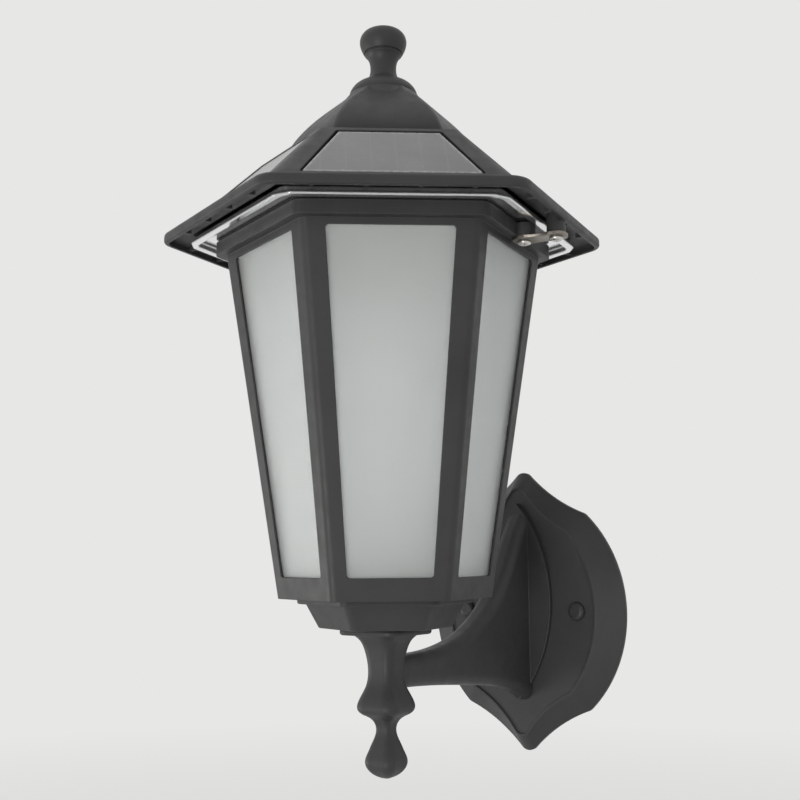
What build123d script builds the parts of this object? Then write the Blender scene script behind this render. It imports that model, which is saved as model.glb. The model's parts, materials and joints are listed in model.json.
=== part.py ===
"""Solar wall light: a hexagonal lantern on a wall bracket, in millimetres.

The origin is the middle of the wall plate's back. The wall is the plane y = 0, the light stands
out along -Y and Z is up. The lantern's axis is vertical, at the arm's reach from the wall.
"""

import os
from math import atan2, cos, pi, radians, sin, tan

from build123d import *

# General clearances and sheet sizes
seat_gap = 0.2          # between faces of pieces that move against each other
slip_gap = 0.15         # round a piece that is slid or laid into a recess
screw_gap = 0.05        # round a screw's shank in the piece that it holds
turn_gap = 0.2          # round a shank that something turns on or lifts off
cut_over = 2.0          # how far a cut runs past the face that it opens

# Where the lantern stands
arm_reach = 128.0       # wall to lantern axis
face_bearing = -50.0    # direction of the first face, from +X
faces = 6

# Wall plate
plate_half_width = 58.8
plate_half_height = 74.2
plate_corner_x = 36.8   # corner between the side arc and the shoulder
plate_corner_z = 51.0
plate_corner_rounding = 5.0
shoulder_bow = 2.3      # hollow of the shoulder between tip and corner
tip_half_width = 3.6
tip_drop = 1.3
side_share = 1.2        # how fast sides, tips and corners draw in along the bevel
tip_share = 0.75
corner_share_x = 0.63
corner_share_z = 0.76
plate_edge = 2.0        # height of the plate's outer edge
bevel_width = 11.2
crest_depth = 9.0       # crest of the bevel from the wall
field_depth = 8.0       # field inside the crest
crest_width = 1.2
plate_web = 2.6
plate_rim = 3.0         # flat rim on the wall

# Wall screws and their caps
wall_hole_spacing = 68.0
wall_hole_r = 2.5
wall_hole_floor = 3.2   # thickness under the screw's head
wall_boss_r = 6.6
cap_recess_r = 4.7
cap_dome = 2.2
cap_thickness = 1.6

# Arm with its foot
arm_half_width = 6.7
arm_rounding = 5.2
foot_half_width = 19.5
foot_top = 57.0
foot_bottom = -47.0
foot_thickness = 2.5
arm_top = -14.8         # arm's upper and lower edge at the stem
arm_bottom = -30.0
arm_screw_r = 2.0
arm_screw_head_r = 3.5
arm_screw_head = 2.4
arm_screw_length = 14.0
arm_screw_heights = (18.0, -20.0)
arm_upper_line = ((0.742, 0.4), (0.523, 7.0), (0.301, 26.2), (0.177, 49.0))  # share of reach, rise
arm_lower_line = ((0.156, 11.5), (0.281, 7.6), (0.469, 4.6), (0.742, 1.4))   # share of reach, fall
arm_run_in = 3.0        # arm's upper edge below the foot's tip

# Stem and drop, rounded squares: depth below the flange or the stem, and half the square's width
square_rounding = 0.55  # share of half the width
flange_half = 16.6
flange_rounding = 6.0
flange_edge = 1.2       # rounding of the flange's edges
flange_top = -2.8
flange_thickness = 2.9
stem_sections = (
    (0.0, 12.6), (2.7, 9.9), (7.1, 8.15), (16.0, 6.85), (23.3, 7.9),
    (26.4, 9.3), (29.4, 10.6), (32.0, 11.1), (33.8, 10.5), (35.4, 8.5),
)
drop_sections = (
    (0.0, 8.3), (1.6, 5.9), (3.8, 4.35), (6.6, 3.85), (10.0, 4.55), (14.2, 6.2),
    (17.8, 7.6), (20.4, 8.1), (23.0, 7.4), (25.4, 5.4), (27.3, 2.0),
)
rod_r = 2.5
rod_in_drop = 13.0
rod_over_nut = 1.5
rod_chamfer = 0.5
nut_across = 8.0
nut_height = 4.0
washer_r = 7.5
washer_thickness = 1.2

# Lantern frame, radii to the hexagon's corners
body_height = 159.2     # up to the frieze
body_bottom_r = 49.4
body_top_r = 74.7
body_rounding = 4.0
frieze_height = 6.1
frieze_out = 5.3        # frieze's corners past the body's
frieze_rounding = 6.0
frame_skin = 1.2        # in front of the panes
pane_thickness = 2.0
pane_rib = 1.5          # behind the panes
floor_thickness = 2.5
window_sill = 9.7       # frame below and above the windows
window_head = 3.0
post_low = 7.3          # frame beside a window, at its foot and at its head
post_high = 9.6
window_rounding = 1.5
pane_lap = 2.5          # pane behind the window's edge
rib_lap = 1.8           # rib behind the pane's edge
pane_below_rim = 1.0

# Base cup
cup_height = 13.2
cup_inset = 8.6         # step inside the frame's corners
cup_step = 2.4
cup_step_in = 3.9       # cup inside the step
cup_taper = 6.0
cup_rounding = 4.0
cup_edge = 1.0          # rounding of the step's and the cup's lower edges
cup_wall = 2.6
cup_boss_r = 6.0
base_screw_in = 6.7     # screws inside the edge of the cup's floor
base_screws_count = 3
base_screw_turn = 30.0
base_boss_r = 3.6

# Small machine screws
screw_end = 1.0         # free depth past a screw's end
small_screw_r = 1.5
small_head_r = 3.0
small_head = 2.0
small_head_rounding = 1.2

# Roof skirt: eave band, low brim and pitched faces
eave_over_plate = 0.7   # eave's lower edge above the reflector plate's
eave_height = 4.7
eave_r = 105.2
eave_rounding = 11.0
eave_inner_rounding = 8.0
eave_wall = 2.4         # eave and brim
eave_top_edge = 2.2     # rounding of the eave's edges
eave_low_edge = 1.2
eave_rib_places = (-33.0, -11.0, 11.0, 33.0)  # along the side
eave_rib = 1.6
eave_rib_in = 4.5
brim_rise = 1.1
skirt_foot_r = 97.7
skirt_foot_rounding = 8.0
skirt_rise = 32.9
skirt_top_r = 59.2
skirt_top_rounding = 3.0
roof_wall = 5.2
deck_thickness = 3.0

# Solar panels, with their margins on the roof's face
panel_low_margin = 3.5
panel_high_margin = 3.2
panel_side_low = 10.0
panel_side_high = 8.7
panel_thickness = 2.5
panel_recess = 0.3
panel_gap = 0.7
panel_bevel = 0.6
panel_rounding = 1.2
wire_hole_r = 2.5

# Roof cap: heights over the skirt and corner radii
cap_lip = 1.4
cap_lip_out = 0.6
cap_sections = ((1.4, 47.6), (9.8, 44.9), (17.9, 38.5), (26.1, 29.4), (30.5, 23.6), (35.8, 17.2))
cap_rounding = 3.0
cap_collar_r = 24.0     # round collar that runs out on the cap's faces
cap_collar = 9.7
cap_wall = 2.6
cap_post_r = 6.0

# Finial, radii and heights over the cap's top
finial_flange_r = 16.4
finial_flange = 0.8
finial_shoulder_r = 15.4
finial_shoulder = 3.0
finial_dome_r = 12.8
finial_dome = 5.6
finial_root_r = 8.2
finial_root = 8.2
finial_neck_r = 6.3
finial_neck = 15.1
finial_bell_r = 7.3
finial_bell = 19.1
finial_throat_r = 9.0
finial_throat = 21.3
finial_groove = 0.4     # depth and width of the groove under the knob
finial_groove_width = 0.8
finial_knob_r = 11.4
finial_height = 34.6
finial_knob = (         # shares of the knob's radius and height
    (0.833, 0.0), (0.921, 0.154), (0.982, 0.323), (1.0, 0.46), (0.969, 0.615),
    (0.877, 0.762), (0.667, 0.9), (0.351, 0.977),
)
finial_stud_r = 2.0
finial_stud_up = 16.0   # into the finial
finial_nut_across = 7.0
finial_nut_height = 3.2
stud_below_nut = 1.5

# Straps and lugs under the eave
strap_places = ((1, 0.0), (4, -14.0))  # face, and place along it
strap_out = 5.8         # first screw's axis from the body's face
strap_span = 15.0       # between the screws' axes
strap_end = 4.8         # beyond the screws' axes
strap_corner = 4.4
strap_width = 11.2
strap_thickness = 1.3
strap_waist = 0.8       # hollow of the strap's long edges
strap_waist_length = 11.0
lug_r = 5.4
lug_cover = 1.2         # lug above its screw hole
roof_boss_r = 4.2

# Reflector plate with what it carries
seal_thickness = 0.8
seal_in = 1.5           # seal inside the frieze's corners
seal_width = 8.0
reflector_thickness = 1.5
reflector_gap = 8.6     # plate's edge to the eave
reflector_rim = 3.6
reflector_rise = 2.4    # plate's field above its rim
reflector_corner = 4.6
boss_in = 15.7          # roof bosses inside the body's top corners
boss_r = 4.0
boss_hole = 9.0
led_board_r = 28.0
led_board_thickness = 1.6
led_count = 12
led_circle = 20.0
led_size = (3.5, 2.8, 0.9)
switch_place = 44.0
switch_side = 13.0
switch_height = 7.0
switch_rounding = 1.0
button_r = 4.0
button_rounding = 1.0
button_flange_r = 4.9
button_flange = 1.2
button_drop = 4.5       # below the reflector plate
switch_travel = 1.5
battery_r = 9.2
battery_length = 65.0
battery_nub_r = 3.0
battery_nub = 1.4
battery_side = -22.0
holder_wall = 1.6
board_side = 23.0
board_size = (58.0, 30.0, 1.6)
board_rounding = 1.5
capacitor_r = 4.0
capacitor_height = 8.0
capacitor_places = ((-18.0, 4.0), (-6.0, 4.0))
chip_side = 9.0
chip_place = (8.0, -2.0)
socket_size = (7.0, 8.0)
socket_places = ((21.0, 8.0), (21.0, -4.0))
chip_height = 4.0
spacer_height = 5.0
spacer_r = 2.4
spacer_inset = 3.5

# Worked-out sizes
hex_flat = cos(pi / faces)
flange_bottom = flange_top - flange_thickness
stem_low = flange_bottom - stem_sections[-1][0]
rod_bottom = stem_low - rod_in_drop
cup_bottom = flange_top + seat_gap
body_bottom = cup_bottom + cup_height
body_top = body_bottom + body_height
rim_top = body_top + frieze_height
strap_top = body_top
field_bottom = rim_top + seal_thickness + seat_gap
reflector_bottom = field_bottom - reflector_rise
reflector_top = field_bottom + reflector_thickness
eave_bottom = reflector_bottom + eave_over_plate
eave_top = eave_bottom + eave_height
skirt_foot = eave_top + brim_rise
skirt_top = skirt_foot + skirt_rise
finial_base = skirt_top + cap_sections[-1][0]
body_lean = atan2((body_top_r - body_bottom_r) * hex_flat, body_height)
frieze_r = body_top_r + frieze_out
slot_front = frame_skin
slot_back = frame_skin + pane_thickness + 2 * slip_gap
frame_wall = slot_back + pane_rib
window_low = window_sill / cos(body_lean)
window_high = (body_height - window_head) / cos(body_lean)
cup_step_r = body_bottom_r - cup_inset
cup_top_r = cup_step_r - cup_step_in
cup_bottom_r = cup_top_r - cup_taper
base_screw_circle = cup_bottom_r * hex_flat - base_screw_in
strap_inner = body_top_r * hex_flat + strap_out
strap_outer = strap_inner + strap_span
strap_hole = frieze_height - lug_cover
brim_pitch = atan2(brim_rise, (eave_r - skirt_foot_r) * hex_flat)
brim_drop = eave_wall / cos(brim_pitch)
brim_under = eave_top + eave_wall * tan(brim_pitch) - brim_drop
roof_pitch = atan2(skirt_rise, (skirt_foot_r - skirt_top_r) * hex_flat)
roof_drop = roof_wall / cos(roof_pitch)
roof_run = skirt_rise / sin(roof_pitch)
deck_bottom = skirt_top - deck_thickness
inner_eave_r = eave_r - eave_wall / hex_flat
inner_foot_r = skirt_foot_r - (roof_drop - brim_drop) / (tan(roof_pitch) - tan(brim_pitch)) / hex_flat
inner_foot = brim_under + (inner_eave_r - inner_foot_r) * hex_flat * tan(brim_pitch)
inner_deck_r = skirt_foot_r - (deck_bottom + roof_drop - skirt_foot) / tan(roof_pitch) / hex_flat
panel_from = panel_low_margin
panel_to = roof_run - panel_high_margin
panel_depth = panel_thickness + panel_recess
reflector_r = inner_eave_r - reflector_gap / hex_flat
pocket_r = reflector_r - reflector_rim / hex_flat
field_r = pocket_r + reflector_thickness / hex_flat
boss_circle = body_top_r - boss_in
seal_outer_r = frieze_r - seal_in
seal_inner_r = seal_outer_r - seal_width


def deck(z):
    """Level plane on the lantern's axis, its x axis square to the first face."""
    bearing = radians(face_bearing)
    return Plane((0, -arm_reach, z), x_dir=(cos(bearing), sin(bearing), 0), z_dir=(0, 0, 1))


def stem_plane(z):
    """Level plane on the lantern's axis, square to the wall."""
    return Plane((0, -arm_reach, z))


def side_plane(index, apothem, z, tilt, aside=0):
    """Plane on a side of the hexagon, x along the side, its normal tilted up from level."""
    bearing = radians(face_bearing + index * 360 / faces)
    out = Vector(cos(bearing), sin(bearing), 0)
    along = Vector(-sin(bearing), cos(bearing), 0)
    origin = Vector(0, -arm_reach, z) + out * apothem + along * aside
    return Plane(origin, x_dir=along, z_dir=out * cos(tilt) + Vector(0, 0, sin(tilt)))


def body_side(index):
    """Plane on the outside of a lantern face, from the bottom edge up."""
    return side_plane(index, body_bottom_r * hex_flat, body_bottom, -body_lean)


def roof_side(index):
    """Plane on the outside of a roof face, from its foot up."""
    return side_plane(index, skirt_foot_r * hex_flat, skirt_foot, pi / 2 - roof_pitch)


def body_r(z):
    """Corner radius of the lantern body at a height."""
    return body_bottom_r + (body_top_r - body_bottom_r) * (z - body_bottom) / body_height


def hexagon(z, radius, rounding=0):
    """Level hexagon round the lantern's axis, given by its corner radius."""
    with BuildSketch(deck(z)) as outline:
        RegularPolygon(radius, faces, rotation=180 / faces)
        if rounding > 0:
            fillet(outline.vertices(), rounding)
    return outline.sketch


def square(z, half):
    """Level rounded square round the stem's axis."""
    with BuildSketch(stem_plane(z)) as outline:
        RectangleRounded(2 * half, 2 * half, square_rounding * half)
    return outline.sketch


def trapezoid(plane, low, high, half_low, half_high, rounding=0):
    """Upright trapezoid on a side of the lantern or the roof."""
    with BuildSketch(plane) as outline:
        with BuildLine():
            Polyline((-half_low, low), (half_low, low), (half_high, high), (-half_high, high), close=True)
        make_face()
        if rounding > 0:
            fillet(outline.vertices(), rounding)
    return outline.sketch


def window_half(y):
    """Half the window's width at a distance up the face."""
    share = (y - window_low) / (window_high - window_low)
    post = post_low + (post_high - post_low) * share
    return body_r(body_bottom + y * cos(body_lean)) / 2 - post


def roof_half(y):
    """Half a roof face's width at a distance up the slope."""
    return (skirt_foot_r - y * cos(roof_pitch) / hex_flat) / 2


def plate_outline(depth, inset):
    """Ogee outline of the wall plate, drawn in along the bevel, at a depth from the wall."""
    half_width = plate_half_width - inset * side_share
    tip = plate_half_height - inset * tip_share
    corner = Vector(plate_corner_x - inset * corner_share_x, plate_corner_z - inset * corner_share_z)
    start = Vector(tip_half_width, tip - tip_drop)
    run = corner - start
    hollow = (start + corner) / 2 + Vector(run.Y, -run.X) * (shoulder_bow / run.length)
    with BuildSketch(Plane.XZ.offset(depth)) as outline:
        with BuildLine():
            ThreePointArc((-start.X, start.Y), (0, tip), (start.X, start.Y))
            ThreePointArc(start, hollow, corner)
            ThreePointArc(corner, (half_width, 0), (corner.X, -corner.Y))
            ThreePointArc((corner.X, -corner.Y), (hollow.X, -hollow.Y), (start.X, -start.Y))
            ThreePointArc((start.X, -start.Y), (0, -tip), (-start.X, -start.Y))
            ThreePointArc((-start.X, -start.Y), (-hollow.X, -hollow.Y), (-corner.X, -corner.Y))
            ThreePointArc((-corner.X, -corner.Y), (-half_width, 0), (-corner.X, corner.Y))
            ThreePointArc((-corner.X, corner.Y), (-hollow.X, hollow.Y), (-start.X, start.Y))
        make_face()
        corners = [v for v in outline.vertices() if abs(abs(v.X) - corner.X) < 0.01]
        fillet(corners, plate_corner_rounding)
    return outline.sketch


def pan_screw(plane, radius, length, head_r, head):
    """Pan-head screw: its shank runs along the plane's normal, its head lies behind the plane."""
    with BuildSketch(plane) as shank:
        Circle(radius)
    extrude(shank.sketch, amount=length)
    with BuildSketch(plane.offset(-head)) as cheese:
        Circle(head_r)
    extrude(cheese.sketch, amount=head)


def finish(piece, name):
    """Name a finished piece and write it."""
    piece.part.label = name
    export_step(piece.part, f"parts/{name}.step")


os.makedirs("parts", exist_ok=True)

# Wall plate
wall_hole_places = [(-wall_hole_spacing / 2, 0), (wall_hole_spacing / 2, 0)]
arm_screw_places = [(0, height) for height in arm_screw_heights]
web_back = field_depth - plate_web
with BuildPart() as wall_plate:
    extrude(plate_outline(0, 0), amount=plate_edge)
    loft([plate_outline(plate_edge, 0), plate_outline(crest_depth, bevel_width)], ruled=True)
    extrude(plate_outline(field_depth, bevel_width + crest_width), amount=cut_over, mode=Mode.SUBTRACT)
    hollow = [plate_outline(0, plate_rim), plate_outline(web_back, bevel_width)]
    loft(hollow, ruled=True, mode=Mode.SUBTRACT)
    with BuildSketch(Plane.XZ):
        with Locations(*wall_hole_places):
            Circle(wall_boss_r)
    extrude(amount=web_back)
    with Locations(Plane.XZ.offset(field_depth)):
        with Locations(*wall_hole_places):
            CounterBoreHole(wall_hole_r, cap_recess_r, field_depth - wall_hole_floor)
    with BuildSketch(Plane.XZ.offset(web_back)):
        with Locations(*arm_screw_places):
            Circle(arm_screw_r + screw_gap)
    extrude(amount=plate_web, mode=Mode.SUBTRACT)
finish(wall_plate, "wall_plate")

# Caps over the wall screws
with BuildPart() as screw_caps:
    with BuildSketch(Plane.XZ.offset(field_depth - cap_thickness)):
        with Locations(*wall_hole_places):
            Circle(cap_recess_r - screw_gap)
    extrude(amount=cap_thickness + cap_dome)
    top_edges = screw_caps.edges().group_by(Axis.Y)[0]
    fillet(top_edges, cap_dome - slip_gap)
finish(screw_caps, "screw_caps")

# Arm, foot and stem
with BuildPart() as bracket_arm:
    with BuildSketch(Plane.YZ):
        with BuildLine():
            upper = Spline(
                (-arm_reach, arm_top),
                *[(-arm_reach * share, arm_top + rise) for share, rise in arm_upper_line],
                (-field_depth, foot_top - arm_run_in),
            )
            lower = Spline(
                (-field_depth, foot_bottom),
                *[(-arm_reach * share, arm_bottom - fall) for share, fall in arm_lower_line],
                (-arm_reach, arm_bottom),
            )
            Line(upper @ 1, lower @ 0)
            Line(lower @ 1, upper @ 0)
        make_face()
    extrude(amount=arm_half_width, both=True)
    fillet(bracket_arm.edges().filter_by(GeomType.BSPLINE), arm_rounding)
    with BuildSketch(Plane.XZ.offset(field_depth)):
        with BuildLine():
            ThreePointArc((0, foot_top), (foot_half_width, 0), (0, foot_bottom))
            ThreePointArc((0, foot_bottom), (-foot_half_width, 0), (0, foot_top))
        make_face()
    extrude(amount=foot_thickness)
    loft([square(flange_bottom - depth, half) for depth, half in stem_sections])
    with BuildPart(mode=Mode.PRIVATE) as flange:
        with BuildSketch(stem_plane(flange_bottom)):
            RectangleRounded(2 * flange_half, 2 * flange_half, flange_rounding)
        extrude(amount=flange_thickness)
        levels = flange.edges().group_by(Axis.Z)
        fillet(levels[0] + levels[-1], flange_edge)
    add(flange.part)
    with BuildSketch(stem_plane(flange_top)):
        Circle(rod_r + slip_gap)
    extrude(amount=stem_low - flange_top, mode=Mode.SUBTRACT)
    with BuildSketch(Plane.XZ.offset(field_depth)):
        with Locations(*arm_screw_places):
            Circle(arm_screw_r + screw_gap)
    extrude(amount=arm_screw_length - plate_web + cut_over, mode=Mode.SUBTRACT)
finish(bracket_arm, "bracket_arm")

with BuildPart() as arm_screws:
    for x, z in arm_screw_places:
        head_seat = Plane((x, -web_back, z), x_dir=(1, 0, 0), z_dir=(0, -1, 0))
        pan_screw(head_seat, arm_screw_r, arm_screw_length, arm_screw_head_r, arm_screw_head)
finish(arm_screws, "arm_screws")

# Pear drop below the stem
with BuildPart() as drop_finial:
    loft([square(stem_low - depth, half) for depth, half in drop_sections])
    with BuildSketch(stem_plane(stem_low)):
        Circle(rod_r + screw_gap)
    extrude(amount=rod_bottom - stem_low, mode=Mode.SUBTRACT)
finish(drop_finial, "drop_finial")

# Rod, washer and nut that hold the lantern on the stem
floor_top = body_bottom + floor_thickness
washer_bottom = floor_top + seat_gap
nut_bottom = washer_bottom + washer_thickness
rod_top = nut_bottom + nut_height + rod_over_nut
with BuildPart() as tie_rod:
    with BuildSketch(stem_plane(rod_bottom)):
        Circle(rod_r)
    extrude(amount=rod_top - rod_bottom)
    chamfer(tie_rod.edges().group_by(Axis.Z)[-1], rod_chamfer)
finish(tie_rod, "tie_rod")

with BuildPart() as tie_washer:
    with BuildSketch(stem_plane(washer_bottom)):
        Circle(washer_r)
        Circle(rod_r + screw_gap, mode=Mode.SUBTRACT)
    extrude(amount=washer_thickness)
finish(tie_washer, "tie_washer")

with BuildPart() as tie_nut:
    with BuildSketch(stem_plane(nut_bottom)):
        RegularPolygon(nut_across / 2, 6, major_radius=False)
        Circle(rod_r + screw_gap, mode=Mode.SUBTRACT)
    extrude(amount=nut_height)
finish(tie_nut, "tie_nut")

# Lantern frame
rim_run = (rim_top - body_bottom) / cos(body_lean)
slot_low = window_low - pane_lap
slot_high = rim_run + cut_over
with BuildPart() as lantern_frame:
    sill = hexagon(body_bottom, body_bottom_r, body_rounding)
    head = hexagon(body_top, body_top_r, body_rounding)
    loft([sill, head], ruled=True)
    extrude(hexagon(body_top, frieze_r, frieze_rounding), amount=frieze_height)
    for index, aside in strap_places:
        with BuildSketch(side_plane(index, strap_inner, strap_top, pi / 2, aside)):
            Circle(lug_r)
            with Locations((0, lug_r)):
                Rectangle(2 * lug_r, 2 * lug_r)
        extrude(amount=frieze_height)
    inside = [hexagon(z, body_r(z) - frame_wall / hex_flat) for z in (floor_top, rim_top)]
    loft(inside, ruled=True, mode=Mode.SUBTRACT)
    for index in range(faces):
        side = body_side(index)
        window = trapezoid(
            side.offset(-frame_skin - slip_gap),
            window_low,
            window_high,
            window_half(window_low),
            window_half(window_high),
            window_rounding,
        )
        extrude(window, amount=2 * frame_skin, mode=Mode.SUBTRACT)
        groove = trapezoid(
            side.offset(-slot_back),
            slot_low - slip_gap,
            slot_high,
            window_half(slot_low) + pane_lap + slip_gap,
            window_half(slot_high) + pane_lap + slip_gap,
        )
        extrude(groove, amount=slot_back - slot_front, mode=Mode.SUBTRACT)
        behind = trapezoid(
            side.offset(-frame_wall - cut_over),
            slot_low + rib_lap,
            slot_high,
            window_half(slot_low) + pane_lap - rib_lap,
            window_half(slot_high) + pane_lap - rib_lap,
        )
        extrude(behind, amount=pane_rib + cut_over, mode=Mode.SUBTRACT)
    for index, aside in strap_places:
        with BuildSketch(side_plane(index, strap_inner, strap_top, pi / 2, aside)):
            Circle(small_screw_r + screw_gap)
        extrude(amount=strap_hole, mode=Mode.SUBTRACT)
    with BuildSketch(deck(body_bottom)):
        Circle(rod_r + turn_gap)
        with PolarLocations(base_screw_circle, base_screws_count, base_screw_turn):
            Circle(small_screw_r + screw_gap)
    extrude(amount=floor_thickness, mode=Mode.SUBTRACT)
finish(lantern_frame, "lantern_frame")

# Panes, slid down the frame's grooves from above
pane_low = slot_low
pane_high = rim_run - pane_below_rim
for index in range(faces):
    with BuildPart() as window_pane:
        pane = trapezoid(
            body_side(index).offset(-slot_back + slip_gap),
            pane_low,
            pane_high,
            window_half(pane_low) + pane_lap,
            window_half(pane_high) + pane_lap,
        )
        extrude(pane, amount=pane_thickness)
    finish(window_pane, f"window_pane_{index + 1}")

# Base cup under the frame
cup_floor = cup_bottom + cup_wall
cup_shoulder = body_bottom - cup_step
with BuildPart() as base_cup:
    extrude(hexagon(cup_shoulder, cup_step_r, cup_rounding), amount=cup_step)
    fillet(base_cup.edges().group_by(Axis.Z)[0], cup_edge)
    bowl = [
        hexagon(cup_bottom, cup_bottom_r, cup_rounding),
        hexagon(cup_shoulder, cup_top_r, cup_rounding),
    ]
    loft(bowl, ruled=True)
    fillet(base_cup.edges().group_by(Axis.Z)[0], cup_edge)
    hollow = [
        hexagon(cup_floor, cup_bottom_r - cup_wall / hex_flat),
        hexagon(body_bottom, cup_top_r - cup_wall / hex_flat),
    ]
    loft(hollow, ruled=True, mode=Mode.SUBTRACT)
    with BuildSketch(deck(cup_floor)):
        Circle(cup_boss_r)
        with PolarLocations(base_screw_circle, base_screws_count, base_screw_turn):
            Circle(base_boss_r)
    extrude(amount=body_bottom - cup_floor)
    with BuildSketch(deck(cup_bottom)):
        Circle(rod_r + turn_gap)
    extrude(amount=body_bottom - cup_bottom, mode=Mode.SUBTRACT)
    with BuildSketch(deck(cup_floor)):
        with PolarLocations(base_screw_circle, base_screws_count, base_screw_turn):
            Circle(small_screw_r + screw_gap)
    extrude(amount=body_bottom - cup_floor, mode=Mode.SUBTRACT)
finish(base_cup, "base_cup")

base_screw_length = floor_thickness + (body_bottom - cup_floor) - slip_gap
with BuildPart() as base_screws:
    for turn in range(base_screws_count):
        angle = radians(face_bearing + base_screw_turn + turn * 360 / base_screws_count)
        foot = (base_screw_circle * cos(angle), base_screw_circle * sin(angle) - arm_reach, floor_top)
        head_seat = Plane(foot, z_dir=(0, 0, -1))
        pan_screw(head_seat, small_screw_r, base_screw_length, small_head_r, small_head)
finish(base_screws, "base_screws")

# Seal on the frame's rim
with BuildPart() as rim_seal:
    extrude(hexagon(rim_top, seal_outer_r, frieze_rounding), amount=seal_thickness)
    extrude(hexagon(rim_top, seal_inner_r), amount=seal_thickness, mode=Mode.SUBTRACT)
finish(rim_seal, "rim_seal")

# Straps that tie the roof to the frame
strap_middle = (strap_inner + strap_outer) / 2
waist_r = ((strap_waist_length / 2) ** 2 + strap_waist**2) / (2 * strap_waist)
waist_place = strap_width / 2 - strap_waist + waist_r
strap_screw_length = strap_thickness + strap_hole - slip_gap
for (index, aside), name in zip(strap_places, ("strap_right", "strap_left")):
    with BuildPart() as strap:
        with BuildSketch(side_plane(index, strap_middle, strap_top - strap_thickness, pi / 2, aside)):
            RectangleRounded(strap_width, strap_span + 2 * strap_end, strap_corner)
            with Locations((-waist_place, 0), (waist_place, 0)):
                Circle(waist_r, mode=Mode.SUBTRACT)
            with GridLocations(0, strap_span, 1, 2):
                Circle(small_screw_r + turn_gap, mode=Mode.SUBTRACT)
        extrude(amount=strap_thickness)
    finish(strap, name)

for name, distance in (("strap_screws", strap_inner), ("roof_screws", strap_outer)):
    with BuildPart() as screws:
        for index, aside in strap_places:
            head_seat = side_plane(index, distance, strap_top - strap_thickness, pi / 2, aside)
            pan_screw(head_seat, small_screw_r, strap_screw_length, small_head_r, small_head)
        fillet(screws.edges().group_by(Axis.Z)[0], small_head_rounding)
    finish(screws, name)

# Roof skirt
roof_boss_bottom = strap_top + seat_gap
rib_bottom = eave_bottom + eave_low_edge
rib_middle = inner_eave_r * hex_flat - eave_rib_in / 2
rib_height = brim_under - rib_bottom + eave_rib_in * tan(brim_pitch)
with BuildPart() as roof_shell:
    eave = hexagon(eave_bottom, eave_r, eave_rounding)
    extrude(eave, amount=eave_height)
    slope = [
        hexagon(eave_top, eave_r, eave_rounding),
        hexagon(skirt_foot, skirt_foot_r, skirt_foot_rounding),
        hexagon(skirt_top, skirt_top_r, skirt_top_rounding),
    ]
    loft(slope, ruled=True)
    upper_edge = roof_shell.edges().filter_by_position(Axis.Z, eave_top - slip_gap, eave_top + slip_gap)
    fillet(upper_edge, eave_top_edge)
    fillet(roof_shell.edges().group_by(Axis.Z)[0], eave_low_edge)
    hollow = [
        hexagon(eave_bottom, inner_eave_r, eave_inner_rounding),
        hexagon(brim_under, inner_eave_r, eave_inner_rounding),
        hexagon(inner_foot, inner_foot_r, skirt_foot_rounding),
        hexagon(deck_bottom, inner_deck_r, skirt_top_rounding),
    ]
    loft(hollow, ruled=True, mode=Mode.SUBTRACT)
    for index in range(faces):
        with BuildSketch(side_plane(index, rib_middle, rib_bottom, pi / 2)):
            with Locations(*[(place, 0) for place in eave_rib_places]):
                Rectangle(eave_rib, eave_rib_in)
        extrude(amount=rib_height)
    for index in range(faces):
        side = roof_side(index)
        recess = trapezoid(
            side.offset(-panel_depth),
            panel_from - panel_gap,
            panel_to + panel_gap,
            roof_half(panel_from) - panel_side_low + panel_gap,
            roof_half(panel_to) - panel_side_high + panel_gap,
            panel_rounding,
        )
        extrude(recess, amount=panel_depth + cut_over, mode=Mode.SUBTRACT)
        with BuildSketch(side.offset(-roof_wall - cut_over)):
            with Locations((0, (panel_from + panel_to) / 2)):
                Circle(wire_hole_r)
        extrude(amount=roof_wall, mode=Mode.SUBTRACT)
    with BuildSketch(deck(reflector_top)):
        with PolarLocations(boss_circle, faces, 180 / faces):
            Circle(boss_r)
    extrude(until=Until.NEXT)
    with BuildSketch(deck(reflector_top)):
        with PolarLocations(boss_circle, faces, 180 / faces):
            Circle(small_screw_r + screw_gap)
    extrude(amount=boss_hole, mode=Mode.SUBTRACT)
    for index, aside in strap_places:
        lug = side_plane(index, strap_outer, roof_boss_bottom, pi / 2, aside)
        with BuildSketch(lug):
            Circle(roof_boss_r)
        extrude(amount=eave_top - roof_boss_bottom)
        with BuildSketch(lug):
            Circle(small_screw_r + turn_gap)
        extrude(amount=strap_hole, mode=Mode.SUBTRACT)
    with BuildSketch(deck(deck_bottom)):
        Circle(finial_stud_r + slip_gap)
    extrude(amount=deck_thickness, mode=Mode.SUBTRACT)
finish(roof_shell, "roof_shell")

# Solar panels in the skirt's recesses
for index in range(faces):
    side = roof_side(index)
    with BuildPart() as solar_panel:
        panel = trapezoid(
            side.offset(-panel_depth),
            panel_from,
            panel_to,
            roof_half(panel_from) - panel_side_low,
            roof_half(panel_to) - panel_side_high,
            panel_rounding,
        )
        extrude(panel, amount=panel_thickness)
        outer_face = solar_panel.faces().sort_by(Axis(side.origin, side.z_dir))[-1]
        chamfer(outer_face.edges(), panel_bevel)
    finish(solar_panel, f"solar_panel_{index + 1}")

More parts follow.
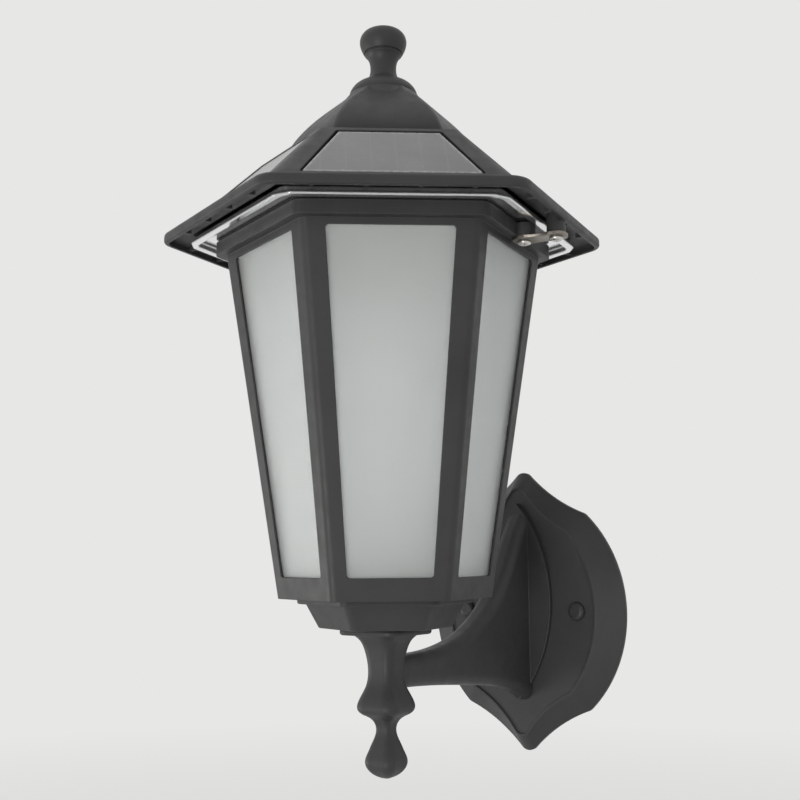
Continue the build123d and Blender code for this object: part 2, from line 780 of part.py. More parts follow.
# Bell cap on the skirt
cap_steps = [(skirt_top + rise, radius) for rise, radius in cap_sections]
inner_cap = [(z, radius - cap_wall / hex_flat) for z, radius in cap_steps[:-1]]
with BuildPart() as roof_cap:
    extrude(hexagon(skirt_top, cap_steps[0][1] + cap_lip_out, cap_rounding), amount=cap_lip)
    loft([hexagon(z, radius, cap_rounding) for z, radius in cap_steps])
    with Locations(deck(finial_base - cap_collar)):
        Cone(cap_collar_r, finial_flange_r, cap_collar, align=(Align.CENTER, Align.CENTER, Align.MIN))
    extrude(hexagon(skirt_top, inner_cap[0][1], cap_rounding), amount=cap_lip, mode=Mode.SUBTRACT)
    loft([hexagon(z, radius, cap_rounding) for z, radius in inner_cap], mode=Mode.SUBTRACT)
    with BuildSketch(deck(skirt_top)):
        Circle(cap_post_r)
    extrude(amount=finial_base - skirt_top)
    with BuildSketch(deck(skirt_top)):
        Circle(finial_stud_r + slip_gap)
    extrude(amount=finial_base - skirt_top, mode=Mode.SUBTRACT)
finish(roof_cap, "roof_cap")

# Finial, turned
knob_low = finial_throat + finial_groove_width
knob_rise = finial_height - knob_low
groove_r = finial_throat_r - finial_groove
with BuildPart() as finial:
    with BuildSketch(Plane((0, -arm_reach, finial_base), x_dir=(1, 0, 0), z_dir=(0, -1, 0))):
        with BuildLine():
            Line((0, 0), (finial_flange_r, 0))
            Line((finial_flange_r, 0), (finial_flange_r, finial_flange))
            Spline(
                (finial_flange_r, finial_flange),
                (finial_shoulder_r, finial_shoulder),
                (finial_dome_r, finial_dome),
                (finial_root_r, finial_root),
                (finial_neck_r, finial_neck),
                (finial_bell_r, finial_bell),
                (finial_throat_r, finial_throat),
            )
            Line((finial_throat_r, finial_throat), (groove_r, finial_throat))
            Line((groove_r, finial_throat), (groove_r, knob_low))
            crown = Spline(
                *[(finial_knob_r * out, knob_low + knob_rise * up) for out, up in finial_knob],
                (0, finial_height),
                tangents=((0.5, 1), (-1, 0)),
            )
            Line((groove_r, knob_low), crown @ 0)
            Line((0, finial_height), (0, 0))
        make_face()
    revolve(axis=Axis((0, -arm_reach, 0), (0, 0, 1)))
    with BuildSketch(deck(finial_base)):
        Circle(finial_stud_r + screw_gap)
    extrude(amount=finial_stud_up, mode=Mode.SUBTRACT)
finish(finial, "finial")

stud_bottom = deck_bottom - finial_nut_height - stud_below_nut
with BuildPart() as finial_stud:
    with BuildSketch(deck(stud_bottom)):
        Circle(finial_stud_r)
    extrude(amount=finial_base + finial_stud_up - stud_bottom)
finish(finial_stud, "finial_stud")

with BuildPart() as finial_nut:
    with BuildSketch(deck(deck_bottom - finial_nut_height)):
        RegularPolygon(finial_nut_across / 2, 6, major_radius=False)
        Circle(finial_stud_r + screw_gap, mode=Mode.SUBTRACT)
    extrude(amount=finial_nut_height)
finish(finial_nut, "finial_nut")

# Reflector plate under the roof
with BuildPart() as reflector_plate:
    with BuildSketch(deck(reflector_bottom)) as outline:
        RegularPolygon(reflector_r, faces, rotation=180 / faces)
        chamfer(outline.vertices(), reflector_corner)
    extrude(amount=reflector_thickness)
    field = hexagon(reflector_bottom, field_r, reflector_corner)
    extrude(field, amount=reflector_rise + reflector_thickness)
    pocket = hexagon(reflector_bottom, pocket_r, reflector_corner)
    extrude(pocket, amount=reflector_rise, mode=Mode.SUBTRACT)
    with BuildSketch(deck(field_bottom)):
        with PolarLocations(boss_circle, faces, 180 / faces):
            Circle(small_screw_r + screw_gap)
        with Locations((switch_place, 0)):
            Circle(button_r + turn_gap)
    extrude(amount=reflector_thickness, mode=Mode.SUBTRACT)
finish(reflector_plate, "reflector_plate")

reflector_screw_length = reflector_thickness + boss_hole - screw_end
with BuildPart() as reflector_screws:
    for index in range(faces):
        angle = radians(face_bearing + (index + 0.5) * 360 / faces)
        foot = (boss_circle * cos(angle), boss_circle * sin(angle) - arm_reach, field_bottom)
        pan_screw(Plane(foot), small_screw_r, reflector_screw_length, small_head_r, small_head)
finish(reflector_screws, "reflector_screws")

# Light source
led_face = field_bottom - led_board_thickness
with BuildPart() as led_board:
    with BuildSketch(deck(led_face)):
        Circle(led_board_r)
    extrude(amount=led_board_thickness)
finish(led_board, "led_board")

with BuildPart() as led_chips:
    with BuildSketch(deck(led_face - led_size[2])):
        with PolarLocations(led_circle, led_count):
            Rectangle(led_size[0], led_size[1])
    extrude(amount=led_size[2])
finish(led_chips, "led_chips")

# Power switch
button_seat = reflector_top + slip_gap
bore_top = button_seat + button_flange + switch_travel + seat_gap
with BuildPart() as switch_housing:
    with BuildSketch(deck(reflector_top)):
        with Locations((switch_place, 0)):
            RectangleRounded(switch_side, switch_side, switch_rounding)
    extrude(amount=switch_height)
    with BuildSketch(deck(reflector_top)):
        with Locations((switch_place, 0)):
            Circle(button_flange_r + turn_gap)
    extrude(amount=bore_top - reflector_top, mode=Mode.SUBTRACT)
finish(switch_housing, "switch_housing")

button_bottom = field_bottom - button_drop
with BuildPart() as switch_button:
    with BuildSketch(deck(button_bottom)):
        with Locations((switch_place, 0)):
            Circle(button_r)
    extrude(amount=button_seat - button_bottom)
    fillet(switch_button.edges().group_by(Axis.Z)[0], button_rounding)
    with BuildSketch(deck(button_seat)):
        with Locations((switch_place, 0)):
            Circle(button_flange_r)
    extrude(amount=button_flange)
finish(switch_button, "switch_button")

# Battery in its holder
holder_length = battery_length + battery_nub + 2 * (holder_wall + slip_gap)
holder_width = 2 * (battery_r + holder_wall + slip_gap)
battery_axis = reflector_top + holder_wall + slip_gap + battery_r
with BuildPart() as battery_holder:
    with BuildSketch(deck(reflector_top)):
        with Locations((0, battery_side)):
            Rectangle(holder_length, holder_width)
    extrude(amount=battery_axis - reflector_top)
    with BuildSketch(deck(reflector_top + holder_wall)):
        with Locations((0, battery_side)):
            Rectangle(holder_length - 2 * holder_wall, holder_width - 2 * holder_wall)
    extrude(amount=battery_axis, mode=Mode.SUBTRACT)
finish(battery_holder, "battery_holder")

deck_x = deck(0).x_dir
deck_y = deck(0).y_dir
battery_end = Vector(0, -arm_reach, battery_axis) + deck_y * battery_side
battery_end = battery_end - deck_x * ((battery_length + battery_nub) / 2)
with BuildPart() as battery:
    with BuildSketch(Plane(battery_end, z_dir=deck_x)):
        Circle(battery_r)
    extrude(amount=battery_length)
    with BuildSketch(Plane(battery_end + deck_x * battery_length, z_dir=deck_x)):
        Circle(battery_nub_r)
    extrude(amount=battery_nub)
finish(battery, "battery")

# Charge and light controller
board_bottom = reflector_top + spacer_height
spacer_x = board_size[0] - 2 * spacer_inset
spacer_y = board_size[1] - 2 * spacer_inset
with BuildPart() as board_spacers:
    with BuildSketch(deck(reflector_top)):
        with Locations((0, board_side)):
            with GridLocations(spacer_x, spacer_y, 2, 2):
                Circle(spacer_r)
    extrude(amount=spacer_height)
finish(board_spacers, "board_spacers")

with BuildPart() as control_board:
    with BuildSketch(deck(board_bottom)):
        with Locations((0, board_side)):
            RectangleRounded(board_size[0], board_size[1], board_rounding)
    extrude(amount=board_size[2])
finish(control_board, "control_board")

components_bottom = board_bottom + board_size[2]
with BuildPart() as board_components:
    with BuildSketch(deck(components_bottom)):
        with Locations(*[(x, board_side + y) for x, y in capacitor_places]):
            Circle(capacitor_r)
    extrude(amount=capacitor_height)
    with BuildSketch(deck(components_bottom)):
        with Locations((chip_place[0], board_side + chip_place[1])):
            Rectangle(chip_side, chip_side)
        with Locations(*[(x, board_side + y) for x, y in socket_places]):
            Rectangle(socket_size[0], socket_size[1])
    extrude(amount=chip_height)
finish(board_components, "board_components")
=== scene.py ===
"""Solar wall light: finishes, screws, stage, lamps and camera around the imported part, in metres."""

import json
from math import cos, pi, radians, sin

import bmesh
import bpy
from mathutils import Matrix, Vector


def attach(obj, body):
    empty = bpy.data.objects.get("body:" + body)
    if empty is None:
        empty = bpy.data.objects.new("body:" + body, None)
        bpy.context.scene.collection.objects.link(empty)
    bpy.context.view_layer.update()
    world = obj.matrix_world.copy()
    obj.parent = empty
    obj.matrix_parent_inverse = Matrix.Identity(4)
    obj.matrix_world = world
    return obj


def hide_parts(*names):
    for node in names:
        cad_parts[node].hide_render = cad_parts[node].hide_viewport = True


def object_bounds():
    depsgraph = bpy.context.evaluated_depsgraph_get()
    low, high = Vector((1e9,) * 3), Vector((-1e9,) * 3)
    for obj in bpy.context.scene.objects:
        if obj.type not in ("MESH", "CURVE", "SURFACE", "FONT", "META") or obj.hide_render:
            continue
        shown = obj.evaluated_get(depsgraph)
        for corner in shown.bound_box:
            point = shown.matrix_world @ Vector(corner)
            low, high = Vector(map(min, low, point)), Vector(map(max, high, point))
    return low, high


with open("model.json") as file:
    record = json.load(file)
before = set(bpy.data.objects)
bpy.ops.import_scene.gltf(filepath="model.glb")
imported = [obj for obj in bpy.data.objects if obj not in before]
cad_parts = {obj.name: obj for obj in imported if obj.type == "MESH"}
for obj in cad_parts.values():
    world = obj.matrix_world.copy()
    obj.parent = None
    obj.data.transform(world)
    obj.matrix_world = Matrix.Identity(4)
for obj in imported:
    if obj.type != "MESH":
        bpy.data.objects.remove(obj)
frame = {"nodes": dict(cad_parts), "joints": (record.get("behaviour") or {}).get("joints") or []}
nodes = frame["nodes"]
cad_low, cad_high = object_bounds()

# Where the lantern stands, and the way that its first face looks, in degrees
LANTERN_Y = frame["joints"][0]["pos_m"][1]
FACE_BEARING = -50.0
FACES = 6
UP = (0.0, 0.0, 1.0)
TO_WALL = (0.0, 1.0, 0.0)

# Colours, linear
CHARCOAL = (0.0305, 0.0305, 0.0315)
# Paler charcoal: used for random tone and flecks, and along edges as wear and a painted highlight
CHARCOAL_WORN_AND_SHEEN = (0.066, 0.0655, 0.0655)
FROST = (0.945, 0.965, 0.96)
CELL = (0.117, 0.118, 0.120)
CELL_LINE = (0.19, 0.19, 0.195)
# Painted highlight on the panels' cut edges
CELL_EDGE_HIGHLIGHT = (0.58, 0.59, 0.59)
MIRROR = (0.92, 0.925, 0.93)
ZINC = (0.31, 0.283, 0.25)
BRIGHT_STEEL = (0.72, 0.70, 0.67)
RUBBER = (0.018, 0.018, 0.018)
BLACK = (0.022, 0.022, 0.024)
WHITE_MASK = (0.78, 0.78, 0.76)
PHOSPHOR = (0.80, 0.62, 0.16)
BUTTON_GREY = (0.55, 0.55, 0.53)
FILM_BLUE = (0.03, 0.13, 0.30)
BOARD_GREEN = (0.012, 0.10, 0.035)
COPPER_GREEN = (0.03, 0.18, 0.06)
BACKDROP = (0.80, 0.80, 0.79)
LAMP_WHITE = (1.0, 0.985, 0.96)

# Second tones, as shares of the first
FROST_THIN = 0.95
CELL_PALE = 1.35
METAL_DULL = 0.18       # taken off where metal is fully worn
TRIM_PALE = 1.18
TRIM_LIFT = 0.004       # added after that, so that black varies too
MASK_TRACE = 0.93

# Patterns, in grains to the metre
PLASTIC_DRIFT = 26.0
PLASTIC_FLOW = 160.0
PLASTIC_GRAIN = 2600.0
PANE_CLOUD = 14.0
PANE_FROST = 1800.0
CELL_RIPPLE = 45.0
CELL_DRIFT = 60.0
CELL_CHIPS = 420.0
METAL_SMUDGE = 90.0
MIRROR_MARKS = 300.0
ZINC_MARKS = 1500.0
SCREW_MARKS = 1800.0
TRIM_DRIFT = 120.0
TRIM_GRAIN = 3000.0
BOARD_TRACES = 420.0

# Depth of their relief
PLASTIC_RELIEF = 0.00006
PANE_RELIEF = 0.00005
CELL_RELIEF = 0.00012
METAL_RELIEF = 0.00001
TRIM_RELIEF = 0.00003
BOARD_RELIEF = 0.00004

# Radius to which edges look rounded
PLASTIC_ROUND = 0.0007
CELL_ROUND = 0.0009
CELL_CUT = 0.003        # width of the painted highlight along the cut edge
MIRROR_ROUND = 0.0014
METAL_ROUND = 0.0003
TRIM_ROUND = 0.0003
ROUND_SAMPLES = 6
EDGE_NONE = 0.985       # cosine of the rounding's turn where an edge starts to show
EDGE_FULL = 0.90        # and where it shows in full

# Noise lies mostly between these two
NOISE_LOW = 0.3
NOISE_HIGH = 0.7

# Lines of a solar cell
STRIP_PERIOD = 0.0105
STRIP_WIDTH = 0.0006
FINGER_PERIOD = 0.0016
FINGER_WIDTH = 0.00018
FINGER_SHARE = 0.30     # strength of a finger beside a strip
LINE_SHARE = 0.24       # strength of both on the cell

# Camera, from the photograph
CAMERA_PLACE = (0.31151, -0.53666, 0.03094)
CAMERA_RIGHT = (0.80307, 0.59585, -0.00632)
CAMERA_UP = (0.08617, -0.10563, 0.99067)
CAMERA_LENS = 49.99
CAMERA_SENSOR = 36.0
CAMERA_NEAR = 0.01

# Stage and lamps
FLOOR_DROP = 0.35
FLOOR_RADIUS = 9.0
FLOOR_NEAR = 0.7
FLOOR_FAR = 2.6
FLOOR_GLOW = 0.4        # share of backdrop in the floor where it is nearest
FLOOR_SIDES = 96
AMBIENT = 0.86
KEY_PLACE = (-0.98, -0.62, -0.22)
KEY_SIZE = 0.4
KEY_POWER = 2.8
FRONT_PLACE = (0.12, -1.15, -0.24)
FRONT_SIZE = 0.36
FRONT_POWER = 4.0
TOP_PLACE = (-0.15, -0.35, 1.25)
TOP_SIZE = 1.0
TOP_POWER = 0.5

# Screws
SCREW_SPACING = 0.012   # vertices this close to each other, across the axis, are one screw
RIM_SHARE = 0.9         # vertices beyond this share of the head's radius are its rim
END_SPAN = 1e-5         # vertices this close to the shank's end, along the axis, are its end
HEAD_RINGS = 22
HEAD_SECTORS = 72
HEAD_CROWN = 0.42       # share of the head's height that its crown takes
CROWN_POWER = 3
CROSS_LENGTH = 0.62     # drive recess, as shares of the head's radius and height
CROSS_WIDTH = 0.15
CROSS_DEPTH = 0.55
CROSS_END = 0.18        # length over which the recess runs out
CROSS_FLANK = 1.5       # half-width at which its flanks reach the crown, in widths
THREAD_PITCH = 0.0007
THREAD_DEPTH = 0.00028
THREAD_SECTORS = 24
THREAD_ROWS = 8         # rows of vertices for each turn


def feed(tree, node, inputs):
    """Give a node its inputs, each a value to set or a socket to link from."""
    for name, value in inputs.items():
        if isinstance(value, bpy.types.NodeSocket):
            tree.links.new(value, node.inputs[name])
        else:
            node.inputs[name].default_value = value


def add(tree, kind, inputs=None, **settings):
    """Add a node with its settings and its inputs."""
    made = tree.nodes.new(kind)
    for name, value in settings.items():
        setattr(made, name, value)
    feed(tree, made, inputs or {})
    return made


def colour(rgb):
    """A colour as a socket takes it."""
    return (*rgb, 1.0)


def shade(rgb, share):
    """A colour made darker or paler."""
    return tuple(value * share for value in rgb)


def new_material(name, base, roughness, metallic=0.0):
    """A material with its tree, its shader and the place on the object that its patterns follow."""
    material = bpy.data.materials.new(name)
    material.use_nodes = True
    tree = material.node_tree
    shader = tree.nodes["Principled BSDF"]
    feed(tree, shader, {"Base Color": colour(base), "Roughness": roughness, "Metallic": metallic})
    place = add(tree, "ShaderNodeTexCoord").outputs["Object"]
    return material, tree, shader, place


def noise(tree, place, scale, detail=3.0):
    """Noise at a number of grains to the metre."""
    inputs = {"Vector": place, "Scale": scale, "Detail": detail}
    return add(tree, "ShaderNodeTexNoise", inputs).outputs["Fac"]


def spread(tree, value, low, high, to_low=0.0, to_high=1.0):
    """Map a value from one range to another, clamped."""
    inputs = {"Value": value, "From Min": low, "From Max": high, "To Min": to_low, "To Max": to_high}
    return add(tree, "ShaderNodeMapRange", inputs).outputs["Result"]


def vary(tree, value, to_low=0.0, to_high=1.0):
    """Map noise to a range."""
    return spread(tree, value, NOISE_LOW, NOISE_HIGH, to_low, to_high)


def calc(tree, operation, first, second=0.0):
    """Arithmetic on one or two values."""
    return add(tree, "ShaderNodeMath", {0: first, 1: second}, operation=operation).outputs[0]


def mix(tree, share, first, second):
    """Mix two colours, each a colour or a socket."""
    made = add(tree, "ShaderNodeMix", {"Factor": share}, data_type="RGBA")
    places = [i for i, socket in enumerate(made.inputs) if socket.type == "RGBA"]
    ends = [end if isinstance(end, bpy.types.NodeSocket) else colour(end) for end in (first, second)]
    feed(tree, made, dict(zip(places, ends)))
    return next(socket for socket in made.outputs if socket.type == "RGBA")


def rounded_normal(tree, radius):
    """The surface's normal with its edges rounded off."""
    return add(tree, "ShaderNodeBevel", {"Radius": radius}, samples=ROUND_SAMPLES).outputs["Normal"]


def edge_share(tree, rounded):
    """One along the edges that are rounded off, zero on open faces."""
    plain = add(tree, "ShaderNodeNewGeometry").outputs["Normal"]
    made = add(tree, "ShaderNodeVectorMath", {0: rounded, 1: plain}, operation="DOT_PRODUCT")
    return spread(tree, made.outputs["Value"], EDGE_NONE, EDGE_FULL)


def bump(tree, height, distance, normal=None):
    """A relief of a depth in metres, on the surface or on its rounded normal."""
    inputs = {"Height": height, "Distance": distance, "Strength": 1.0}
    if normal is not None:
        inputs["Normal"] = normal
    return add(tree, "ShaderNodeBump", inputs).outputs["Normal"]


def moulded_plastic(name, base, worn_and_sheen, roughness):
    """Satin moulded plastic: spark-eroded grain, slow drift of tone, and edges lightened as wear and as
    a painted highlight.
    """
    material, tree, shader, place = new_material(name, base, roughness)
    drift = noise(tree, place, PLASTIC_DRIFT, detail=4.0)
    grain = noise(tree, place, PLASTIC_GRAIN, detail=2.0)
    flow = noise(tree, place, PLASTIC_FLOW)
    rounded = rounded_normal(tree, PLASTIC_ROUND)
    toned = mix(tree, vary(tree, drift, to_high=0.35), base, worn_and_sheen)
    flecks = spread(tree, grain, low=0.45, high=0.75, to_high=0.25)
    flecked = mix(tree, flecks, toned, worn_and_sheen)
    # Painted edge highlight, partly edge wear: edges are lightened toward the paler charcoal
    edge_wear_and_sheen = calc(tree, "MULTIPLY", edge_share(tree, rounded), 0.6)
    feed(tree, shader, {
        "Base Color": mix(tree, edge_wear_and_sheen, flecked, worn_and_sheen),
        "Roughness": vary(tree, flow, to_low=roughness - 0.06, to_high=roughness + 0.07),
        "Normal": bump(tree, grain, PLASTIC_RELIEF, rounded),
        "Specular IOR Level": 0.3,
    })
    return material


def frosted_plastic(name, base):
    """Milky pane: lets light through softly, with fine frosting and a cloudy tone."""
    material, tree, shader, place = new_material(name, base, roughness=0.62)
    cloud = noise(tree, place, PANE_CLOUD)
    frost = noise(tree, place, PANE_FROST)
    feed(tree, shader, {
        "Base Color": mix(tree, vary(tree, cloud), shade(base, FROST_THIN), base),
        "Roughness": vary(tree, frost, to_low=0.56, to_high=0.70),
        "Normal": bump(tree, frost, PANE_RELIEF),
        "Transmission Weight": 0.82,
        "IOR": 1.49,
    })
    return material


def face_place(tree, place, face):
    """A place turned so that a face of the hexagon looks along X and its side runs along Y."""
    bearing = FACE_BEARING + face * 360.0 / FACES
    inputs = {"Vector": place, "Center": (0.0, LANTERN_Y, 0.0), "Axis": UP, "Angle": -radians(bearing)}
    made = add(tree, "ShaderNodeVectorRotate", inputs, rotation_type="AXIS_ANGLE")
    return add(tree, "ShaderNodeSeparateXYZ", {"Vector": made.outputs["Vector"]}).outputs


def line_share(tree, value, period, width):
    """One on thin lines that repeat along a value."""
    turn = calc(tree, "FRACT", calc(tree, "DIVIDE", value, period))
    away = calc(tree, "ABSOLUTE", calc(tree, "SUBTRACT", turn, 0.5))
    half = width / period / 2
    return spread(tree, away, 0.5 - 2 * half, 0.5 - half)


def solar_glass(name, face):
    """Grey cells with their fingers under clear resin, and a painted highlight along the resin's cut
    edges.
    """
    material, tree, shader, place = new_material(name, CELL, roughness=0.26)
    turned = face_place(tree, place, face)
    strips = line_share(tree, turned["Y"], STRIP_PERIOD, STRIP_WIDTH)
    fingers = line_share(tree, turned["Z"], FINGER_PERIOD, FINGER_WIDTH)
    lines = calc(tree, "MAXIMUM", strips, calc(tree, "MULTIPLY", fingers, FINGER_SHARE))
    drift = noise(tree, place, CELL_DRIFT, detail=4.0)
    cell = mix(tree, vary(tree, drift), CELL, shade(CELL, CELL_PALE))
    lined = mix(tree, calc(tree, "MULTIPLY", lines, LINE_SHARE), cell, CELL_LINE)
    ripple = noise(tree, place, CELL_RIPPLE, detail=2.0)
    specks = noise(tree, place, CELL_CHIPS, detail=2.0)
    chips = spread(tree, specks, low=0.35, high=0.6, to_low=0.35)
    # Painted highlight along the cut edges, broken up by chips
    edge = edge_share(tree, rounded_normal(tree, CELL_CUT))
    painted_edge_highlight = calc(tree, "MULTIPLY", edge, chips)
    feed(tree, shader, {
        "Base Color": mix(tree, painted_edge_highlight, lined, CELL_EDGE_HIGHLIGHT),
        "Roughness": vary(tree, drift, to_low=0.22, to_high=0.30),
        "Normal": bump(tree, ripple, CELL_RELIEF, rounded_normal(tree, CELL_ROUND)),
        "IOR": 1.5,
        "Coat Weight": 0.25,
        "Coat Roughness": 0.16,
    })
    return material


def bright_metal(name, base, roughness, marks, edge=METAL_ROUND, metallic=1.0, wear=1.0):
    """Plated metal with fine rolling marks, and smudges by its share of wear."""
    material, tree, shader, place = new_material(name, base, roughness, metallic)
    smudge = noise(tree, place, METAL_SMUDGE, detail=4.0)
    rolled = noise(tree, place, marks, detail=2.0)
    dull = shade(base, 1.0 - METAL_DULL * wear)
    polished = roughness * (1.0 - 0.2 * wear)
    scuffed = roughness * (1.0 + 0.3 * wear)
    feed(tree, shader, {
        "Base Color": mix(tree, spread(tree, smudge, low=0.35, high=0.7), base, dull),
        "Roughness": vary(tree, smudge, polished, scuffed),
        "Normal": bump(tree, rolled, METAL_RELIEF, rounded_normal(tree, edge)),
    })
    return material


def plain_plastic(name, base, roughness):
    """Small moulded or coated piece: fine grain and a slow drift of tone."""
    material, tree, shader, place = new_material(name, base, roughness)
    drift = noise(tree, place, TRIM_DRIFT)
    grain = noise(tree, place, TRIM_GRAIN, detail=2.0)
    pale = tuple(min(1.0, value + TRIM_LIFT) for value in shade(base, TRIM_PALE))
    feed(tree, shader, {
        "Base Color": mix(tree, vary(tree, drift), base, pale),
        "Roughness": vary(tree, grain, to_low=roughness - 0.05, to_high=roughness + 0.05),
        "Normal": bump(tree, grain, TRIM_RELIEF, rounded_normal(tree, TRIM_ROUND)),
    })
    return material


def circuit_mask(name, base, trace):
    """Lacquered board with a faint relief of its copper."""
    material, tree, shader, place = new_material(name, base, roughness=0.3)
    inputs = {"Vector": place, "Scale": BOARD_TRACES}
    cells = add(tree, "ShaderNodeTexVoronoi", inputs, distance="MANHATTAN", feature="F1")
    copper = spread(tree, cells.outputs["Distance"], low=0.42, high=0.5)
    feed(tree, shader, {
        "Base Color": mix(tree, copper, base, trace),
        "Normal": bump(tree, copper, BOARD_RELIEF),
    })
    return material


def dress(material, *names):
    """Give CAD nodes a finish."""
    for name in names:
        data = nodes[name].data
        data.materials.clear()
        data.materials.append(material)


def new_piece(name, mesh, material, body):
    """Turn a bmesh into a smooth piece of the object that rides on a body."""
    data = bpy.data.meshes.new(name)
    bmesh.ops.recalc_face_normals(mesh, faces=mesh.faces)
    mesh.to_mesh(data)
    mesh.free()
    data.materials.append(material)
    for polygon in data.polygons:
        polygon.use_smooth = True
    piece = bpy.data.objects.new(name, data)
    bpy.context.scene.collection.objects.link(piece)
    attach(piece, body)
    return piece


def skin(mesh, rows, foot, tip):
    """Join rows of vertices, each a closed ring, and close both ends with a fan to a vertex."""
    count = len(rows[0])
    for low, high in zip(rows, rows[1:]):
        for i in range(count):
            mesh.faces.new((low[i], low[(i + 1) % count], high[(i + 1) % count], high[i]))
    for row, end in ((rows[0], foot), (rows[-1], tip)):
        for i in range(count):
            mesh.faces.new((row[i], row[(i + 1) % count], end))


def screws_of(node, axis):
    """Middle, seat, ends of head and shank, and both radii of each screw in a node."""
    groups = []
    for vertex in nodes[node].data.vertices:
        along = vertex.co.dot(axis)
        flat = vertex.co - axis * along
        for group in groups:
            if (flat - group[0][0]).length < SCREW_SPACING:
                group.append((flat, along))
                break
        else:
            groups.append([(flat, along)])
    found = []
    for group in groups:
        low = Vector([min(flat[i] for flat, along in group) for i in range(3)])
        high = Vector([max(flat[i] for flat, along in group) for i in range(3)])
        middle = (low + high) / 2
        rays = [((flat - middle).length, along) for flat, along in group]
        head_r = max(reach for reach, along in rays)
        ends = (min(along for reach, along in rays), max(along for reach, along in rays))
        rim = [along for reach, along in rays if reach > head_r * RIM_SHARE]
        shank_end = max(ends, key=lambda end: abs(end - rim[0]))
        head_end = min(ends, key=lambda end: abs(end - rim[0]))
        seat = min(rim, key=lambda along: abs(along - shank_end))
        shank_r = max(reach for reach, along in rays if abs(along - shank_end) < END_SPAN)
        found.append((middle, seat, head_end, shank_end, head_r, shank_r))
    return found


def clamp(value):
    """A value held between zero and one."""
    return min(1.0, max(0.0, value))


def screw_head(mesh, place, out, side, over, radius, height):
    """Pan head with a cross recess: place is the seat's middle, out the way that the head stands."""
    angles = [2 * pi * sector / HEAD_SECTORS for sector in range(HEAD_SECTORS)]
    rows = [[mesh.verts.new(place + (side * cos(turn) + over * sin(turn)) * radius) for turn in angles]]
    for ring in range(HEAD_RINGS):
        share = 1.0 - ring / HEAD_RINGS
        row = []
        for angle in angles:
            x = share * cos(angle)
            y = share * sin(angle)
            narrow, far = sorted((abs(x), abs(y)))
            depth = CROSS_DEPTH * clamp(CROSS_FLANK - narrow / CROSS_WIDTH)
            depth *= clamp((CROSS_LENGTH - far) / CROSS_END)
            rise = 1.0 - HEAD_CROWN * share ** CROWN_POWER - depth
            row.append(mesh.verts.new(place + (side * x + over * y) * radius + out * (height * rise)))
        rows.append(row)
    tip = mesh.verts.new(place + out * (height * (1.0 - CROSS_DEPTH)))
    foot = mesh.verts.new(place)
    skin(mesh, rows, foot, tip)


def screw_shank(mesh, place, into, side, over, radius, length):
    """Threaded shank: a helix of the thread's pitch along the screw, which runs out at its end."""
    count = int(length / THREAD_PITCH * THREAD_ROWS)
    rows = []
    for step in range(count + 1):
        down = length * step / count
        fade = min(1.0, (length - down) / THREAD_PITCH)
        row = []
        for sector in range(THREAD_SECTORS):
            turn = sector / THREAD_SECTORS
            phase = (down / THREAD_PITCH - turn) % 1.0
            reach = radius - THREAD_DEPTH * (1.0 - fade * (1.0 - abs(2 * phase - 1.0)))
            angle = 2 * pi * turn
            spoke = side * cos(angle) + over * sin(angle)
            row.append(mesh.verts.new(place + into * down + spoke * reach))
        rows.append(row)
    foot = mesh.verts.new(place)
    tip = mesh.verts.new(place + into * length)
    skin(mesh, rows, foot, tip)


def detailed_screws(node, axis, material, body):
    """Stand detailed screws in a node's place."""
    mesh = bmesh.new()
    axis = Vector(axis)
    side = axis.orthogonal().normalized()
    over = axis.cross(side)
    for middle, seat, head_end, shank_end, head_r, shank_r in screws_of(node, axis):
        place = middle + axis * seat
        out = axis * (1.0 if head_end > seat else -1.0)
        screw_head(mesh, place, out, side, over, head_r, abs(head_end - seat))
        screw_shank(mesh, place, -out, side, over, shank_r, abs(shank_end - seat))
    piece = new_piece(f"{node}_detailed", mesh, material, body)
    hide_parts(node)


def backdrop_share(tree):
    """One for the rays that see the backdrop, zero for the rays that carry its light."""
    path = add(tree, "ShaderNodeLightPath").outputs
    seen = calc(tree, "MAXIMUM", path["Is Camera Ray"], path["Is Glossy Ray"])
    return calc(tree, "MAXIMUM", seen, path["Is Transmission Ray"])


def make_world():
    """Pale backdrop, with soft light all round."""
    world = bpy.data.worlds.new("studio")
    world.use_nodes = True
    bpy.context.scene.world = world
    tree = world.node_tree
    strength = spread(tree, backdrop_share(tree), 0.0, 1.0, AMBIENT, 1.0)
    feed(tree, tree.nodes["Background"], {"Color": colour(BACKDROP), "Strength": strength})


def make_floor():
    """Pale floor below the light, which runs out into the backdrop."""
    mesh = bmesh.new()
    bmesh.ops.create_circle(mesh, cap_ends=True, segments=FLOOR_SIDES, radius=FLOOR_RADIUS)
    data = bpy.data.meshes.new("floor")
    mesh.to_mesh(data)
    mesh.free()
    floor = bpy.data.objects.new("floor", data)
    floor.location = (0.0, LANTERN_Y, cad_low.z - FLOOR_DROP)
    bpy.context.scene.collection.objects.link(floor)
    material, tree, shader, place = new_material("floor", BACKDROP, roughness=0.9)
    shader.inputs["Specular IOR Level"].default_value = 0.0
    away = add(tree, "ShaderNodeVectorMath", {0: place}, operation="LENGTH").outputs["Value"]
    far = spread(tree, away, FLOOR_NEAR, FLOOR_FAR, FLOOR_GLOW, 1.0)
    glow = add(tree, "ShaderNodeEmission", {"Color": colour(BACKDROP)}).outputs[0]
    share = calc(tree, "MULTIPLY", far, backdrop_share(tree))
    both = add(tree, "ShaderNodeMixShader", {0: share, 1: shader.outputs[0], 2: glow}).outputs[0]
    feed(tree, tree.nodes["Material Output"], {"Surface": both})
    data.materials.append(material)
    return floor


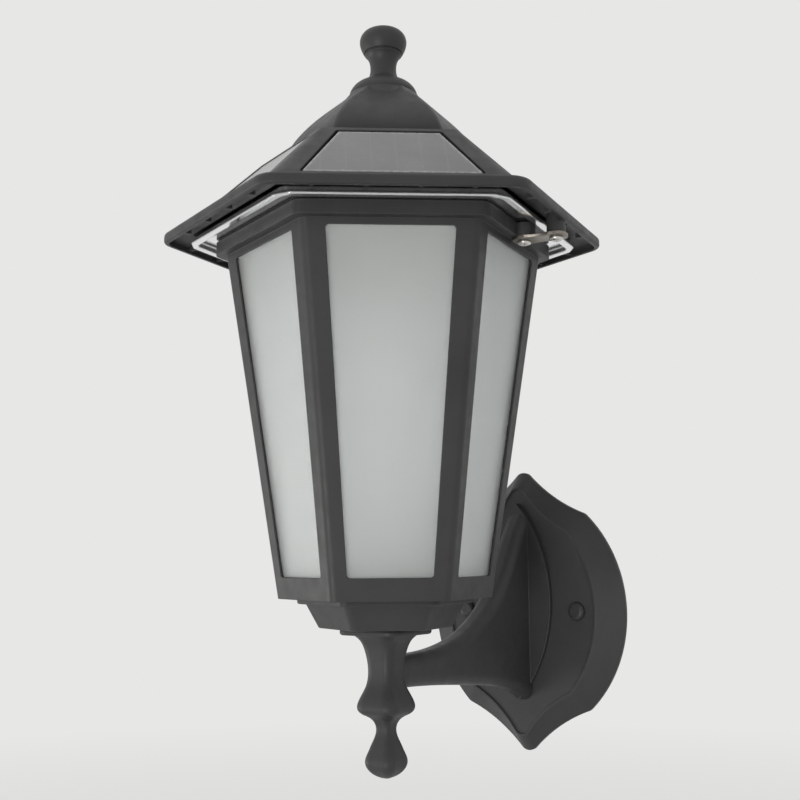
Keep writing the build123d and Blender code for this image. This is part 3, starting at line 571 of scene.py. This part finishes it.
def make_lamp(name, place, size, power, passes=None):
    """Soft square lamp aimed at the middle of the light, which doesn't light what it passes."""
    data = bpy.data.lights.new(name, "AREA")
    data.size = size
    data.energy = power
    data.color = LAMP_WHITE
    lamp = bpy.data.objects.new(name, data)
    lamp.location = place
    aim = Vector((0.0, LANTERN_Y, (cad_low.z + cad_high.z) / 2)) - lamp.location
    lamp.rotation_euler = aim.to_track_quat("-Z", "Y").to_euler()
    bpy.context.scene.collection.objects.link(lamp)
    if passes is not None:
        flag = bpy.data.collections.new(f"{name}_flag")
        flag.objects.link(passes)
        lamp.light_linking.receiver_collection = flag
        flag.collection_objects[0].light_linking.link_state = "EXCLUDE"


def make_camera():
    """Camera at the photograph's place."""
    data = bpy.data.cameras.new("camera")
    data.lens = CAMERA_LENS
    data.sensor_width = CAMERA_SENSOR
    data.clip_start = CAMERA_NEAR
    camera = bpy.data.objects.new("camera", data)
    right = Vector(CAMERA_RIGHT)
    up = Vector(CAMERA_UP)
    turned = Matrix((right, up, right.cross(up))).transposed()
    camera.matrix_world = Matrix.Translation(CAMERA_PLACE) @ turned.to_4x4()
    bpy.context.scene.collection.objects.link(camera)
    bpy.context.scene.camera = camera


# Finishes
housing = moulded_plastic("charcoal_plastic", CHARCOAL, CHARCOAL_WORN_AND_SHEEN, roughness=0.46)
dress(housing, "wall_plate", "bracket_arm", "drop_finial", "lantern_frame", "base_cup")
dress(housing, "roof_shell", "roof_cap", "finial")
dress(moulded_plastic("cap_plastic", CHARCOAL, CHARCOAL_WORN_AND_SHEEN, roughness=0.30), "screw_caps")
pane = frosted_plastic("frosted_plastic", FROST)
for index in range(FACES):
    dress(pane, f"window_pane_{index + 1}")
    dress(solar_glass(f"solar_glass_{index + 1}", index), f"solar_panel_{index + 1}")
mirror = bright_metal("mirror_plate", MIRROR, 0.11, MIRROR_MARKS, MIRROR_ROUND, metallic=0.95, wear=0.3)
dress(mirror, "reflector_plate")
zinc = bright_metal("zinc_steel", ZINC, 0.42, ZINC_MARKS)
dress(zinc, "strap_right", "strap_left", "tie_rod", "tie_washer")
screw_steel = bright_metal("screw_steel", BRIGHT_STEEL, 0.24, SCREW_MARKS)
dress(screw_steel, "tie_nut", "finial_stud", "finial_nut")
dress(plain_plastic("seal_rubber", RUBBER, roughness=0.7), "rim_seal")
dress(circuit_mask("white_mask", WHITE_MASK, shade(WHITE_MASK, MASK_TRACE)), "led_board")
dress(plain_plastic("light_phosphor", PHOSPHOR, roughness=0.25), "led_chips")
black = plain_plastic("black_plastic", BLACK, roughness=0.5)
dress(black, "switch_housing", "battery_holder", "board_spacers", "board_components")
dress(plain_plastic("button_plastic", BUTTON_GREY, roughness=0.45), "switch_button")
dress(plain_plastic("battery_film", FILM_BLUE, roughness=0.25), "battery")
dress(circuit_mask("green_mask", BOARD_GREEN, COPPER_GREEN), "control_board")

# Screws
for lantern_node in ("strap_screws", "roof_screws", "base_screws"):
    detailed_screws(lantern_node, UP, screw_steel, "lantern")
detailed_screws("reflector_screws", UP, screw_steel, "roof")
detailed_screws("arm_screws", TO_WALL, screw_steel, "bracket")

# Stage, lamps and camera
make_world()
ground = make_floor()
make_lamp("key", KEY_PLACE, KEY_SIZE, KEY_POWER, passes=ground)
make_lamp("front", FRONT_PLACE, FRONT_SIZE, FRONT_POWER, passes=ground)
make_lamp("top", TOP_PLACE, TOP_SIZE, TOP_POWER)
make_camera()
bpy.context.scene.view_settings.view_transform = "Standard"
